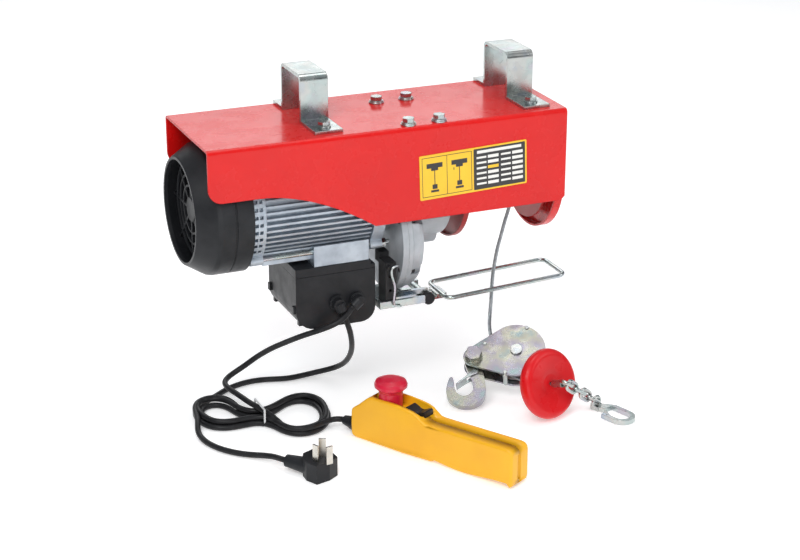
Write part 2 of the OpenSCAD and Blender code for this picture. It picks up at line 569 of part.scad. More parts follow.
// ========================= rope, block and hooks ============================
module wire_rope() { color([0.45, 0.47, 0.48]) place() tube(smooth(rope_route, 1), rope_r, 8); }
ta = acos((plate_r - plate_r2) / bolt_d);
module plate2d() {
  polygon(concat([for (i = [0:40]) let (a = ta - 180 + i * (360 - 2 * ta) / 40) [plate_r * cos(a), plate_r * sin(a)]],
    [for (i = [0:16]) let (a = 180 - ta + i * 2 * ta / 16) [-bolt_d + plate_r2 * cos(a), plate_r2 * sin(a)]]));
}
spacer_uv = [[-14.5, -22.6], [-28.5, 12.2], [14, 22.5]];
module block_plates() {
  color(zinc) place() in_block() for (z = [8, -10.5]) translate([0, 0, z]) difference() {
    linear_extrude(2.5) plate2d();
    translate([0, 0, -1]) cylinder(r = 4.55, h = 5);
    translate([-bolt_d, 0, -1]) cylinder(r = 4.55, h = 5);
    for (p = spacer_uv) translate([p[0], p[1], -1]) cylinder(r = 1.9, h = 5);
  }
}
module block_pins() {
  color(zinc) place() in_block() {
    translate([0, 0, -12]) cylinder(r = 4.5, h = 24);
    for (z = [-12.5, 10.55]) translate([0, 0, z]) cylinder(r = 5.6, h = 1.9);
    for (p = spacer_uv) translate([p[0], p[1], 0]) {
      translate([0, 0, -7.95]) cylinder(r = 2.6, h = 15.9);
      translate([0, 0, -11.4]) cylinder(r = 1.8, h = 22.8);
    }
  }
}
module sheave() {
  color([0.16, 0.16, 0.17]) place() in_block() rotate_extrude($fn = 96) polygon([[4.57, -6.5], [23.5, -6.5], [23.5, -4.6], [groove_r + 1, -2.2],
    [groove_r, -1.2], [groove_r, 1.2], [groove_r + 1, 2.2], [23.5, 4.6], [23.5, 6.5], [4.57, 6.5]]);
}
module hook_bolt() {
  color(zinc) place() in_block() translate([-bolt_d, 0, 0]) {
    translate([0, 0, -16]) cylinder(r = 4.5, h = 33);
    translate([0, 0, -16.2]) hexhead(7, 5.6);
    translate([0, 0, 10.55]) cylinder(r = 8.6, h = 1.4);
    translate([0, 0, 12]) hexhead(7, 6);
  }
}
hook_a = -15;
hook_line = [[-9, -1], [-6.6, 6.1], [0, 9], [6.6, 6.1], [9, -1], [9.6, -10], [12.6, -21.7], [14.6, -34], [11.6, -43.9], [3.4, -49.6], [-6, -50.9], [-14.6, -48.1],
  [-20.6, -42.7], [-22.8, -35.3], [-22.4, -27.8], [-21.4, -22.8], [-19.6, -20.5], [-17.6, -22.1], [-16.2, -26.6], [-15, -32.2], [-12.2, -37.4], [-6.6, -40], [-0.8, -38.3],
  [2.4, -33.4], [2.2, -27.8], [-0.4, -21.7], [-2.6, -16.4], [-5.6, -10.6]];
// a smooth closed outline through the corners of a rough one
function closed(p, k) = let (n = len(p)) [for (i = [0:n - 1]) for (j = [0:k - 1]) cr(p[(i + n - 1) % n], p[i], p[(i + 1) % n], p[(i + 2) % n], j / k)];
module hook() {
  color(zinc) place() in_block() translate([-bolt_d, 0, -4]) rotate(hook_a) difference() {
    linear_extrude(8) polygon(closed(hook_line, 4));
    translate([0, 0, -1]) cylinder(r = 4.57, h = 10);
    translate([2.5, -13, -1]) cylinder(r = 1.35, h = 10);
  }
}
module hook_latch() {
  color([0.72, 0.75, 0.77]) place() in_block() translate([-bolt_d, 0, 0]) rotate(hook_a) {
    // two cheeks outside the hook, a strip across the throat and the pivot pin
    for (z = [-5.4, 4.35]) translate([0, 0, z]) linear_extrude(1.05) {
      translate([2.5, -13]) circle(r = 3);
      polygon([[1.2, -10.4], [3.6, -15.7], [-4.9, -21.2], [-6.3, -19.6]]);
    }
    translate([0, 0, -5.4]) linear_extrude(10.8) polygon([[-6.3, -19.6], [-4.9, -21.2], [-13.6, -29.2], [-14.4, -27.8]]);
    translate([2.5, -13, -5.4]) cylinder(r = 1.3, h = 10.8);
  }
}
module stopper_disc() {
  color([0.85, 0.06, 0.07]) place() in_disc() rotate_extrude($fn = 96) polygon(concat([[rope_r + 0.05, -5], [9, -5.2], [13, -6.5], [26, -6.5]],
    [for (a = [-90:15:90]) [27.5 + 5.5 * cos(a), 6.5 * sin(a)]], [[26, 6.5], [13, 5.2], [9, 4.4], [rope_r + 0.05, 4.4]]));
}
// the chain runs straight from the rope's eye to the eye of the snap hook
link_w = 1.8;
eye_t = dw(24.8);
eye_s = [347.5, -150, -263];
ch_d = unit(eye_s - eye_t);
ch_a = unit([-ch_d[1], ch_d[0], 0]);
ch_c = cross(ch_a, ch_d);
link_gap = 2 * link_w + 0.06;
link_p = (norm(eye_s - eye_t) - 5.4 + 4 * link_gap) / 4;
// children with their X and Y axes along x and y
module along(o, x, y) {
  z = cross(x, y);
  multmatrix([[x[0], y[0], z[0], o[0]], [x[1], y[1], z[1], o[1]], [x[2], y[2], z[2], o[2]], [0, 0, 0, 1]]) children();
}
module torus(r, w) { rotate_extrude($fn = 48) translate([r, 0]) circle(r = w, $fn = 20); }
module rope_thimble() {
  color(zinc) place() {
    in_disc() translate([0, 0, 8]) difference() { cylinder(r = 3.6, h = 12); translate([0, 0, -1]) cylinder(r = rope_r + 0.1, h = 10.9); }
    along(eye_t, ch_d, ch_a) torus(5.4, link_w);
  }
}
// an oval chain link, long axis along X, wire radius w
module link(l, b, w) {
  r = b / 2 - w;
  h = l / 2 - b / 2;
  for (s = [-1, 1]) {
    translate([-h, s * r, 0]) rotate([0, 90, 0]) cylinder(r = w, h = 2 * h, $fn = 20);
    translate([s * h, 0, 0]) rotate([0, 0, -90 * s]) rotate_extrude(angle = 180, $fn = 48) translate([r, 0]) circle(r = w, $fn = 20);
  }
}
module chain_links() {
  color(zinc) place() for (k = [0:3])
    along(eye_t + ch_d * (5.4 - link_gap + link_p / 2 + k * (link_p - link_gap)), ch_d, k % 2 == 0 ? ch_c : ch_a) link(link_p + 2 * link_w, 12, link_w);
}
snap_k = [-9, -24];
module in_snap() { translate([eye_s[0], eye_s[1], zg + 0.1]) rotate(18) children(); }
module snap2d() {
  difference() {
    union() {
      circle(r = 5.6);
      translate([0, -33]) { circle(r = 12.5, $fn = 64); translate([-12.5, 0]) square([25, 19]); }
      polygon([[-4.2, -2], [4.2, -2], [12.5, -14], [12.5, -20], [-12.5, -20], [-6, -10]]);
    }
    translate([0, -33]) { circle(r = 8.3, $fn = 64); translate([-8.3, 0]) square([16.6, 20.4]); }
    polygon([[-20, -5], [-20, -19], [-6, -17.5], [-1.5, -13], [-3.4, -6.8]]);
    translate(snap_k) circle(r = 2.05);
  }
}
module snap_gate() {
  color([0.75, 0.78, 0.80]) place() in_snap() translate([0, 0, 0.7]) linear_extrude(3) {
    translate(snap_k) circle(r = 2);
    polygon([[-9, -24], [-8, -22.6], [-3.6, -14.4], [-2.2, -15.2], [-7.2, -25.1], [-8, -25.5]]);
  }
}
module snap_hook() {
  color(zinc) place() {
    in_snap() linear_extrude(4.4) snap2d();
    along(eye_s, [ch_a[1], -ch_a[0], 0], [0, 0, 1]) torus(4.6, link_w);
  }
}

// ============================ cords and plug ================================
module mains_cord() { color(black) place() { tube(smooth(mains_out, 1), cord_d / 2, 8); tube(mains_in, cord_d / 2, 8); } }
module control_cord() { color(black) place() { tube(smooth(control_out, 1), cord_d / 2, 8); tube(control_in, cord_d / 2, 8); } }
// the coil's outer shape: the middle line of its outermost strand, two lobes and a tied waist
hank = [[48, -45.5], [54.5, -40.5], [63.5, -32], [77, -25.2], [91, -22.2], [101.6, -25.2], [108.4, -36.3], [110.4, -52.8], [107, -72.7], [98, -89.7],
  [86.6, -99.7], [75.1, -103.4], [65.6, -102], [57.6, -94.6], [53, -82.4], [51, -70.5], [47.5, -63.8], [41.4, -63.6], [33, -62.6], [20, -63.6], [8.8, -63.6], [-1.8, -58.2],
  [-8, -46.7], [-9.2, -31.3], [-5.9, -16], [2.4, -3], [12.5, 2.8], [23, 1.6], [31, -6], [35, -19], [37.5, -34], [42, -45.5]];
module cord_hank() {
  color(black) place() translate([0, 0, zg]) {
    linear_extrude(11.2) offset(r = 2.9) polygon(hank);
    translate([34, -63.8, 0]) cube([22, 18, 16.2]);
  }
}
module hank_tie() {
  color([0.82, 0.82, 0.80]) place() translate([44.8, -54.8, zg]) difference() {
    translate([-0.6, -13.9, 0.3]) cube([1.7, 27.8, 17.6]);
    translate([-4, -13.1, -1]) cube([8, 26.2, 18.2]);
  }
}
pin_at = [[-6.6, -7.4, -64], [3.4, -14.6, 8], [1.6, -2.2, -28]];
module plug() {
  color(black) place() difference() {
    union() {
      translate([57.6, -178.4, zg]) linear_extrude(18) polygon([[-14.8, 4], [-11.4, 11.6], [-1, 16.2], [8.6, 13], [13, 4.4], [13.9, -7], [4, -13.6], [-9.4, -17], [-15, -6]]);
      translate([49.2, -175.1, -261.5]) rotate([0, 0, 128.5]) rotate([0, 90, 0]) cylinder(r1 = 7.8, r2 = 5.6, h = 23.6);
    }
    for (q = pin_at) translate([57.6 + q[0], -178.4 + q[1], zg + 16.5]) rotate(q[2]) translate([-3.2, -0.85, 0]) cube([6.4, 1.7, 5]);
  }
}
module plug_pins() {
  color([0.78, 0.76, 0.70]) place() for (i = [0:2]) let (q = pin_at[i]) translate([57.6 + q[0], -178.4 + q[1], zg + 16.6]) rotate(q[2])
    translate([-3.1, -0.75, 0]) cube([6.2, 1.5, i == 2 ? 19.4 : 17]);
}

// =============================== pendant ====================================
module in_pendant() { translate([111.2, -116.2, zg]) rotate(-61) children(); }
pw = pendant_w;
pen_screws = [[12, 8], [92, 8], [168, 30]];
pen_out = concat([[0, 4], [0, 26], [1, 28.5], [8, 33.5], [19, 43.5], [23, 45.3], [48, 45.3], [68, 44], [74, 42.2], [80, 38], [85, 35.3], [100, 35.3],
  [pendant_l - 6, 37.4], [pendant_l - 2.5, 36.6], [pendant_l, 33.5], [pendant_l, 3], [pendant_l - 2, 0.6]],
  [for (i = [0:24]) [pendant_l - 6 - i * 3.25, 1.6 + 1.4 * cos(i * 60)]],
  [[88, 0.2], [6, 0.2], [2, 1.4]]);
pen_in = [[2.5, 5], [2.5, 25.5], [9, 31], [20, 34.4], [82, 34.4], [86, 32.6], [pendant_l - 6, 34.4], [pendant_l - 2.5, 31], [pendant_l - 2.5, 6], [88, 6], [86, 2.8], [5, 2.8]];
module pendant_half(y0, y1, c0, c1) {
  in_pendant() difference() {
    ay(y0) linear_extrude(y1 - y0) polygon(pen_out);
    ay(c0) linear_extrude(c1 - c0) polygon(pen_in);
    // well round the controls
    translate([22, 3, 37]) cube([52, pw - 6, 30]);
    translate([74 - e, 6, 37]) cube([8, pw - 12, 30]);
    translate([36, pw / 2, 30]) cylinder(r = 11.06, h = 10);
    translate([56.5, 7.5, 30]) cube([24, pw - 15, 10]);
    translate([-5, 9, 9]) rotate([0, 90, 0]) cylinder(r = 5.2, h = 10);
    for (p = pen_screws) translate([p[0], pw + 2, p[1]]) rotate([90, 0, 0]) { cylinder(r = 1.25, h = 15); cylinder(r = 2.5, h = 3.1); }
    translate([pendant_l - 1.4, pw / 2 - 1.6, 6]) cube([5, 3.2, 26]);
  }
}
module pendant_shell_front() { color(yellow) place() pendant_half(0, pw / 2 - 0.05, 2.5, 20); }
module pendant_shell_back() { color(yellow) place() pendant_half(pw / 2 + 0.05, pw, 10, pw - 2.5); }
module pendant_gland() {
  color(black) place() in_pendant() translate([0, 9, 9]) rotate([0, -90, 0]) {
    translate([0, 0, 0.1]) cylinder(r1 = 7.4, r2 = 6.6, h = 5);
    translate([0, 0, 5]) cylinder(r1 = 6, r2 = 4.4, h = 9);
    translate([0, 0, -6]) cylinder(r = 5, h = 7);
  }
}
module estop_button() {
  color([0.83, 0.05, 0.10]) place() in_pendant() translate([36, pw / 2, 0]) rotate_extrude($fn = 64)
    polygon([[0, 32.4], [11, 32.4], [11, 50.5], [12.2, 53], [15, 55.5], [15.2, 58], [14, 60.6], [9, 62.4], [0, 63]]);
}
rk = [68.5, pw / 2, 32.5];
module rocker() {
  color(black) place() in_pendant() translate(rk) {
    ay(-6) linear_extrude(12) union() {
      polygon([[-10.8, 2], [-10.8, 10.2], [-9.2, 10.8], [-1.2, 7.4], [1.2, 7.4], [9.2, 10.8], [10.8, 10.2], [10.8, 2], [4, -0.5], [-4, -0.5]]);
      circle(r = 2.6);
    }
    translate([0, 8, 0]) rotate([90, 0, 0]) cylinder(r = 1.5, h = 16);
  }
}
module switch_blocks() {
  color([0.2, 0.2, 0.21]) place() in_pendant() {
    translate([26, 5, 2.9]) cube([20, 18, 25]);
    difference() {
      translate([56, 4.8, 2.9]) cube([25, 18.4, 31.2]);
      translate([56.6, 7.6, 27.5]) cube([23.8, 12.8, 10]);
      translate([rk[0], rk[1] + 8.2, rk[2]]) rotate([90, 0, 0]) cylinder(r = 1.55, h = 16.4);
      // slot that lets the trunnions drop in
      translate([rk[0] - 1.55, rk[1] - 8.2, rk[2]]) cube([3.1, 16.4, 4]);
    }
  }
}

housing();
mount_brackets();
housing_bolts();
data_plate();
fan_cover();
cover_screws();
fan();
rear_end_shield();
stator_housing();
stator_core();
windings();
rotor();
bearings();
front_end_shield();
tie_bolts();
terminal_box();
terminal_box_cover();
capacitor();
cable_glands();
gearbox_case();
gearbox_cover();
gearbox_screws();
layshaft_gear();
drum_gear();
drum_shaft();
drum();
rope_on_drum();
drum_bulkhead();
end_plate();
limit_switch();
switch_plunger();
limit_bracket();
limit_lever();
limit_loop();
lever_knob();
limit_spring();
wire_rope();
block_plates();
block_pins();
sheave();
hook_bolt();
hook();
hook_latch();
stopper_disc();
rope_thimble();
chain_links();
snap_hook();
snap_gate();
mains_cord();
control_cord();
cord_hank();
hank_tie();
plug();
plug_pins();
pendant_shell_front();
pendant_shell_back();
pendant_gland();
estop_button();
rocker();
switch_blocks();
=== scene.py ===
import math
import random
import bpy
import bmesh
from mathutils import Vector, Matrix


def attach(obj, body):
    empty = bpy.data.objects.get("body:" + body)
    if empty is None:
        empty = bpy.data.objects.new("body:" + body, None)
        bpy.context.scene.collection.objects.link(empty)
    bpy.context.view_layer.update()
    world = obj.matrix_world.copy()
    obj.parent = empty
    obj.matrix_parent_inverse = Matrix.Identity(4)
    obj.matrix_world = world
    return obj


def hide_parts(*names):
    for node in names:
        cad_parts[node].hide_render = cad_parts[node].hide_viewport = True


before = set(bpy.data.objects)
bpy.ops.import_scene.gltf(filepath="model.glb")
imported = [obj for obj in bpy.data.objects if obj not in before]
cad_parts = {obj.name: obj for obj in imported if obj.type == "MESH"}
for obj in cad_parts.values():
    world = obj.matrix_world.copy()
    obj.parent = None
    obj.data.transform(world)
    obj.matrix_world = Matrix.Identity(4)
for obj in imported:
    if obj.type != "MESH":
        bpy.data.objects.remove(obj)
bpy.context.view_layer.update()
random.seed(7)

SX, SY, SZ = 222.5, 12.0, 42.5          # the beam seat, from the housing's left end, centre line and top
ZM = -73.0
GROUND = -270.0


def P(x, y, z):
    """a point given in mm from the housing's left end, centre line and top"""
    return Vector(((x - SX) / 1000, (y - SY) / 1000, (z - SZ) / 1000))


def R(axis, deg):
    return Matrix.Rotation(math.radians(deg), 4, axis)


def T(v):
    return Matrix.Translation(v)


# ------------------------------------------------------------------ camera
C = P(-492.0, -1647.6, 526.5)
yaw, pit, rol = (math.radians(a) for a in (23.066, 21.340, 0.131))
fwd = Vector((math.sin(yaw) * math.cos(pit), math.cos(yaw) * math.cos(pit), -math.sin(pit)))
right0 = Vector((math.cos(yaw), -math.sin(yaw), 0))
up0 = right0.cross(fwd)
right = right0 * math.cos(rol) + up0 * math.sin(rol)
up = up0 * math.cos(rol) - right0 * math.sin(rol)
cam_data = bpy.data.cameras.new("Camera")
cam = bpy.data.objects.new("Camera", cam_data)
bpy.context.scene.collection.objects.link(cam)
m = Matrix((right, up, -fwd)).transposed().to_4x4()
m.translation = C
cam.matrix_world = m
cam_data.sensor_width = 36
cam_data.lens = 1987.0 * 36 / 800
cam_data.clip_start, cam_data.clip_end = 0.05, 50
bpy.context.scene.camera = cam


# --------------------------------------------------------------- materials
def mat(name, a, b=None, scale=40, lo=0.3, hi=0.45, metal=0.0, bump=(900, 0.12, 0.0004), rscale=60, edge=0.0006,
        wear=None, wear_amt=0.5, coat=0.0, spec=0.5, stretch=(1, 1, 1), detail=6, dust=None, bands=None, more=None):
    m = bpy.data.materials.new(name)
    m.use_nodes = True
    nt = m.node_tree
    n, l = nt.nodes, nt.links
    bs = n["Principled BSDF"]
    tc = n.new("ShaderNodeTexCoord")
    mp = n.new("ShaderNodeMapping")
    mp.inputs["Scale"].default_value = stretch
    l.new(tc.outputs["Object"], mp.inputs["Vector"])

    def noise(s, d=detail, r=0.55, dist=0.0):
        t = n.new("ShaderNodeTexNoise")
        t.inputs["Scale"].default_value = s
        t.inputs["Detail"].default_value = d
        t.inputs["Roughness"].default_value = r
        t.inputs["Distortion"].default_value = dist
        l.new(mp.outputs["Vector"], t.inputs["Vector"])
        return t

    b = b or tuple(min(1, c * 0.82) for c in a)
    t1 = noise(scale)
    ramp = n.new("ShaderNodeValToRGB")
    cols = [a, b] if more is None else [a, b] + list(more)
    while len(ramp.color_ramp.elements) < len(cols):
        ramp.color_ramp.elements.new(0.5)
    for i, c in enumerate(cols):
        ramp.color_ramp.elements[i].position = 0.32 + 0.36 * i / (len(cols) - 1)
        ramp.color_ramp.elements[i].color = (*c, 1)
    l.new(t1.outputs["Fac"], ramp.inputs["Fac"])
    col = ramp.outputs["Color"]
    t2 = noise(rscale, 5)
    mr = n.new("ShaderNodeMapRange")
    mr.inputs["From Min"].default_value, mr.inputs["From Max"].default_value = 0.3, 0.7
    mr.inputs["To Min"].default_value, mr.inputs["To Max"].default_value = lo, hi
    l.new(t2.outputs["Fac"], mr.inputs["Value"])
    rough = mr.outputs["Result"]
    bev = n.new("ShaderNodeBevel")
    bev.samples = 4
    bev.inputs["Radius"].default_value = edge
    if wear:
        geo = n.new("ShaderNodeNewGeometry")
        dot = n.new("ShaderNodeVectorMath")
        dot.operation = "DOT_PRODUCT"
        l.new(bev.outputs["Normal"], dot.inputs[0])
        l.new(geo.outputs["Normal"], dot.inputs[1])
        em = n.new("ShaderNodeMapRange")
        em.inputs["From Min"].default_value, em.inputs["From Max"].default_value = 0.97, 0.80
        l.new(dot.outputs["Value"], em.inputs["Value"])
        t4 = noise(350, 3)
        th = n.new("ShaderNodeMapRange")
        th.inputs["From Min"].default_value, th.inputs["From Max"].default_value = 0.5, 0.62
        l.new(t4.outputs["Fac"], th.inputs["Value"])
        mu = n.new("ShaderNodeMath")
        mu.operation = "MULTIPLY"
        l.new(em.outputs["Result"], mu.inputs[0])
        l.new(th.outputs["Result"], mu.inputs[1])
        mu2 = n.new("ShaderNodeMath")
        mu2.operation = "MULTIPLY"
        mu2.inputs[1].default_value = wear_amt
        l.new(mu.outputs[0], mu2.inputs[0])
        mx = n.new("ShaderNodeMix")
        mx.data_type = "RGBA"
        l.new(mu2.outputs[0], mx.inputs["Factor"])
        l.new(col, mx.inputs["A"])
        mx.inputs["B"].default_value = (*wear, 1)
        col = mx.outputs["Result"]
    if dust:
        t5 = noise(dust[0], 4, 0.6)
        dr = n.new("ShaderNodeMapRange")
        dr.inputs["From Min"].default_value, dr.inputs["From Max"].default_value = 0.45, 0.75
        dr.inputs["To Max"].default_value = dust[1]
        l.new(t5.outputs["Fac"], dr.inputs["Value"])
        mx = n.new("ShaderNodeMix")
        mx.data_type = "RGBA"
        l.new(dr.outputs["Result"], mx.inputs["Factor"])
        l.new(col, mx.inputs["A"])
        mx.inputs["B"].default_value = (*dust[2], 1)
        col = mx.outputs["Result"]
    l.new(col, bs.inputs["Base Color"])
    l.new(rough, bs.inputs["Roughness"])
    bs.inputs["Metallic"].default_value = metal
    bs.inputs["Specular IOR Level"].default_value = spec
    bs.inputs["Coat Weight"].default_value = coat
    bs.inputs["Coat Roughness"].default_value = 0.08
    t3 = noise(bump[0], 4)
    bp = n.new("ShaderNodeBump")
    bp.inputs["Strength"].default_value = bump[1]
    bp.inputs["Distance"].default_value = bump[2]
    l.new(t3.outputs["Fac"], bp.inputs["Height"])
    l.new(bev.outputs["Normal"], bp.inputs["Normal"])
    last = bp
    if bands:                              # fine parallel machining or moulding lines: (axis, scale, strength)
        w = n.new("ShaderNodeTexWave")
        w.wave_type = "BANDS"
        w.bands_direction = bands[0]
        w.inputs["Scale"].default_value = bands[1]
        w.inputs["Distortion"].default_value = 0.6
        w.inputs["Detail"].default_value = 2
        l.new(tc.outputs["Object"], w.inputs["Vector"])
        b2 = n.new("ShaderNodeBump")
        b2.inputs["Strength"].default_value = bands[2]
        b2.inputs["Distance"].default_value = 0.0003
        l.new(w.outputs["Fac"], b2.inputs["Height"])
        l.new(bp.outputs["Normal"], b2.inputs["Normal"])
        last = b2
    l.new(last.outputs["Normal"], bs.inputs["Normal"])
    return m


M = {}
M["red"] = mat("red_powder_coat", (0.70, 0.007, 0.006), (0.62, 0.005, 0.005), 14, 0.20, 0.32, bump=(700, 0.10, 0.0003), coat=0.15, spec=0.32, edge=0.0012,
               wear=(0.35, 0.02, 0.02), wear_amt=0.35, dust=(30, 0.04, (0.75, 0.12, 0.10)))
M["zinc"] = mat("zinc_plate", (0.40, 0.46, 0.52), (0.52, 0.53, 0.51), 34, 0.16, 0.34, 1.0, (500, 0.10, 0.0003), 90, 0.0007,
                more=[(0.44, 0.51, 0.50), (0.49, 0.46, 0.51)], wear=(0.70, 0.72, 0.74), wear_amt=0.4)
M["zinc_rainbow"] = mat("zinc_rainbow", (0.24, 0.33, 0.36), (0.41, 0.41, 0.34), 42, 0.18, 0.36, 1.0, (420, 0.12, 0.0003), 80, 0.0006,
                        more=[(0.34, 0.32, 0.38), (0.27, 0.37, 0.36)], wear=(0.68, 0.70, 0.72), wear_amt=0.4)
M["alu"] = mat("cast_aluminium", (0.50, 0.56, 0.62), (0.38, 0.43, 0.49), 60, 0.32, 0.5, 0.85, (1200, 0.3, 0.0004), 120, 0.0006,
               wear=(0.8, 0.82, 0.84), wear_amt=0.5, dust=(80, 0.25, (0.25, 0.28, 0.31)))
M["cast"] = mat("cast_grey", (0.50, 0.53, 0.56), (0.38, 0.41, 0.44), 50, 0.35, 0.52, 0.5, (900, 0.35, 0.0005), 80, 0.001,
                wear=(0.8, 0.82, 0.84), wear_amt=0.4, dust=(60, 0.2, (0.3, 0.31, 0.33)))
M["black"] = mat("black_moulding", (0.012, 0.013, 0.015), (0.022, 0.023, 0.026), 50, 0.30, 0.46, 0.0, (1500, 0.22, 0.0002), 70, 0.0009,
                 wear=(0.07, 0.07, 0.075), wear_amt=0.5, spec=0.22)
M["black_fine"] = mat("black_switch", (0.014, 0.014, 0.015), (0.028, 0.028, 0.03), 90, 0.28, 0.42, 0.0, (2000, 0.15, 0.0002), 120, 0.0004, spec=0.22)
M["steel"] = mat("machined_steel", (0.46, 0.46, 0.47), (0.36, 0.36, 0.37), 80, 0.28, 0.42, 1.0, (800, 0.15, 0.0003), 90, 0.0005, bands=("X", 300, 0.1))
M["shaft"] = mat("ground_steel", (0.62, 0.63, 0.64), (0.5, 0.51, 0.52), 80, 0.18, 0.3, 1.0, (900, 0.08, 0.0002), 90, 0.0005)
M["copper"] = mat("enamelled_copper", (0.55, 0.22, 0.07), (0.38, 0.13, 0.04), 200, 0.3, 0.45, 0.8, (900, 0.5, 0.0005), 90, bands=("X", 500, 0.5))
M["can"] = mat("capacitor_can", (0.7, 0.71, 0.73), (0.6, 0.61, 0.63), 60, 0.3, 0.4, 0.9)
M["screw"] = mat("black_oxide", (0.02, 0.02, 0.022), (0.05, 0.05, 0.052), 200, 0.35, 0.5, 0.7, (1500, 0.2, 0.0002), 100, 0.0004, wear=(0.2, 0.2, 0.2))
M["rope"] = mat("galvanised_strand", (0.42, 0.45, 0.47), (0.28, 0.30, 0.32), 300, 0.3, 0.46, 1.0, (2500, 0.5, 0.0003), 200, 0.0002)
M["sheave"] = mat("dark_cast", (0.30, 0.31, 0.32), (0.20, 0.21, 0.22), 90, 0.4, 0.55, 0.6, (900, 0.3, 0.0004), 80, 0.0006, wear=(0.5, 0.5, 0.5))
M["disc"] = mat("red_rubber", (0.68, 0.006, 0.010), (0.60, 0.005, 0.009), 30, 0.24, 0.36, 0.0, (1100, 0.10, 0.0003), 60, 0.0008, coat=0.08, spec=0.3, dust=(50, 0.05, (0.72, 0.15, 0.14)))
M["cord"] = mat("pvc_cord", (0.010, 0.010, 0.011), (0.020, 0.020, 0.022), 120, 0.32, 0.46, 0.0, (1800, 0.25, 0.0002), 90, 0.0003, dust=(150, 0.08, (0.09, 0.09, 0.09)), spec=0.22)
M["tie"] = mat("white_tie", (0.78, 0.79, 0.80), (0.68, 0.69, 0.70), 90, 0.35, 0.5, 0.0, (1500, 0.2, 0.0002), 90, 0.0003, bands=("Y", 700, 0.4))
M["pins"] = mat("plated_pins", (0.66, 0.64, 0.58), (0.52, 0.50, 0.45), 150, 0.22, 0.34, 1.0, (900, 0.1, 0.0002), 90, 0.0003)
M["yellow"] = mat("yellow_moulding", (0.90, 0.47, 0.006), (0.84, 0.41, 0.005), 22, 0.34, 0.46, 0.0, (1700, 0.22, 0.0002), 60, 0.001,
                  wear=(0.98, 0.72, 0.2), wear_amt=0.3, dust=(60, 0.10, (0.70, 0.35, 0.03)))
M["button"] = mat("red_button", (0.66, 0.010, 0.045), (0.56, 0.008, 0.035), 60, 0.26, 0.38, 0.0, (1200, 0.10, 0.0002), 60, 0.0006, coat=0.15)
M["label_y"] = mat("label_yellow", (0.92, 0.56, 0.012), (0.88, 0.52, 0.012), 60, 0.30, 0.40, 0.0, (600, 0.05, 0.0002), 60, 0.0002, coat=0.3)
M["label_k"] = mat("label_black", (0.012, 0.012, 0.013), (0.018, 0.018, 0.019), 60, 0.28, 0.38, 0.0, (600, 0.05, 0.0002), 60, 0.0002, coat=0.3)
M["label_w"] = mat("label_white", (0.85, 0.84, 0.80), (0.78, 0.77, 0.73), 60, 0.30, 0.40, 0.0, (600, 0.05, 0.0002), 60, 0.0002, coat=0.2)
M["white"] = mat("white_mark", (0.8, 0.8, 0.8), (0.72, 0.72, 0.72), 60, 0.35, 0.45)
M["plunger"] = mat("ivory_plunger", (0.7, 0.66, 0.52), (0.62, 0.58, 0.46), 90, 0.35, 0.45)
# a darker copy of the housing's red paint: painted shade for the drum and its bulkhead, which sit in the housing's
# shade; its lighter edge colour is real wear
M["red_in_painted_shade"] = mat("red_paint_painted_shade", (0.42, 0.010, 0.008), (0.32, 0.008, 0.007), 40, 0.3, 0.42, 0.0, (700, 0.15, 0.0003), 60, 0.001, wear=(0.4, 0.38, 0.36), wear_amt=0.5)

node_mat = {
    "housing": "red", "end_plate": "red", "drum_bulkhead": "red_in_painted_shade", "drum": "red_in_painted_shade",
    "mount_brackets": "zinc", "housing_bolts": "zinc", "cover_screws": "zinc", "tie_bolts": "zinc",
    "limit_bracket": "zinc", "limit_lever": "zinc", "limit_loop": "zinc", "limit_spring": "zinc",
    "block_plates": "zinc_rainbow", "block_pins": "zinc", "hook_bolt": "zinc_rainbow", "hook": "zinc_rainbow",
    "hook_latch": "zinc", "rope_thimble": "zinc", "chain_links": "zinc", "snap_hook": "zinc", "snap_gate": "zinc",
    "fan_cover": "black", "fan": "black", "terminal_box": "black", "terminal_box_cover": "black", "cable_glands": "black",
    "limit_switch": "black_fine", "lever_knob": "black", "plug": "black", "pendant_gland": "black", "rocker": "black_fine",
    "switch_blocks": "black_fine", "switch_plunger": "plunger",
    "rear_end_shield": "alu", "stator_housing": "alu", "front_end_shield": "alu",
    "gearbox_case": "cast", "gearbox_cover": "cast", "stator_core": "steel", "rotor": "shaft", "bearings": "shaft",
    "layshaft_gear": "steel", "drum_gear": "steel", "drum_shaft": "shaft", "windings": "copper", "capacitor": "can",
    "gearbox_screws": "screw", "rope_on_drum": "rope", "wire_rope": "rope", "sheave": "sheave", "stopper_disc": "disc",
    "mains_cord": "cord", "control_cord": "cord", "cord_hank": "cord", "hank_tie": "tie", "plug_pins": "pins",
    "pendant_shell_front": "yellow", "pendant_shell_back": "yellow", "estop_button": "button", "data_plate": "label_y",
}
for name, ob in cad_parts.items():
    ob.data.materials.clear()
    ob.data.materials.append(M[node_mat[name]])


# ----------------------------------------------------------------- helpers
def add(name, bm, material, body="frame", matrix=None, smooth=True):
    me = bpy.data.meshes.new(name)
    bmesh.ops.recalc_face_normals(bm, faces=bm.faces)
    bm.to_mesh(me)
    bm.free()
    for p in me.polygons:
        p.use_smooth = smooth
    ob = bpy.data.objects.new(name, me)
    bpy.context.scene.collection.objects.link(ob)
    mats = material if isinstance(material, (list, tuple)) else [material]
    for k in mats:
        me.materials.append(M[k])
    if matrix is not None:
        ob.matrix_world = matrix
        bpy.context.view_layer.update()
    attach(ob, body)
    return ob


